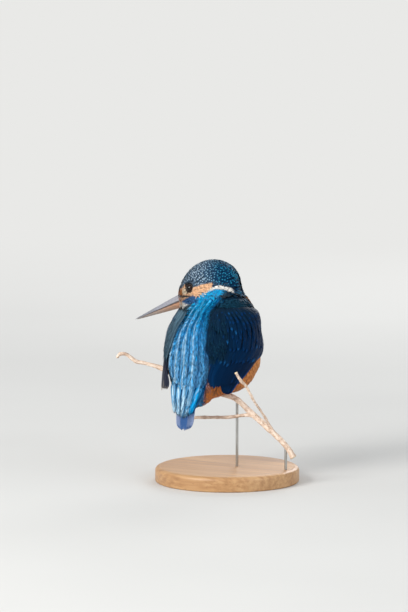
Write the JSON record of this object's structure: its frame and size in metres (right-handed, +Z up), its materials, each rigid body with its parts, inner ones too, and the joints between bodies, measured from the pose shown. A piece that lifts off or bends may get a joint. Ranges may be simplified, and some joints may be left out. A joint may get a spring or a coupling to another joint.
{
  "type": "common_kingfisher",
  "caption": "Common kingfisher, female, a life-size still model: perched hunched on a cut forked twig, bill turned over its left shoulder, on a round wooden stand",
  "frame": {"origin": "centre of the underside of the stand's round base", "axes": "+Z up, +Y the way the breast faces, +X the bird's right"},
  "size_m": [0.1339, 0.096, 0.146],
  "materials": {
    "crown": "fine barred plumage",
    "back": "glossy plumage",
    "wing": "glossy plumage",
    "tail": "glossy plumage",
    "horn_dark": "smooth horn with a soft sheen",
    "horn_orange": "smooth horn with a soft sheen",
    "eye": "wet gloss",
    "leg_skin": "fine scales",
    "claw": "smooth horn",
    "bark": "dry thin bark",
    "turned_wood": "oiled, satin",
    "steel": "satin"
  },
  "bodies": {
    "root": {"head": "crown", "neck": "crown", "trunk": "back", "tail": "tail", "bill_upper": "horn_dark", "bill_lower": "horn_orange", "eye_left": "eye", "eye_right": "eye", "wing_left": "wing", "wing_right": "wing", "leg_left": "leg_skin", "leg_right": "leg_skin", "foot_left": "leg_skin", "foot_right": "leg_skin", "claw_left_1": "claw", "claw_left_2": "claw", "claw_left_3": "claw", "claw_left_4": "claw", "claw_right_1": "claw", "claw_right_2": "claw", "claw_right_3": "claw", "claw_right_4": "claw", "perch": "bark", "stand_base": "turned_wood", "stand_pin_near": "steel", "stand_pin_far": "steel"}
  },
  "joints": []
}
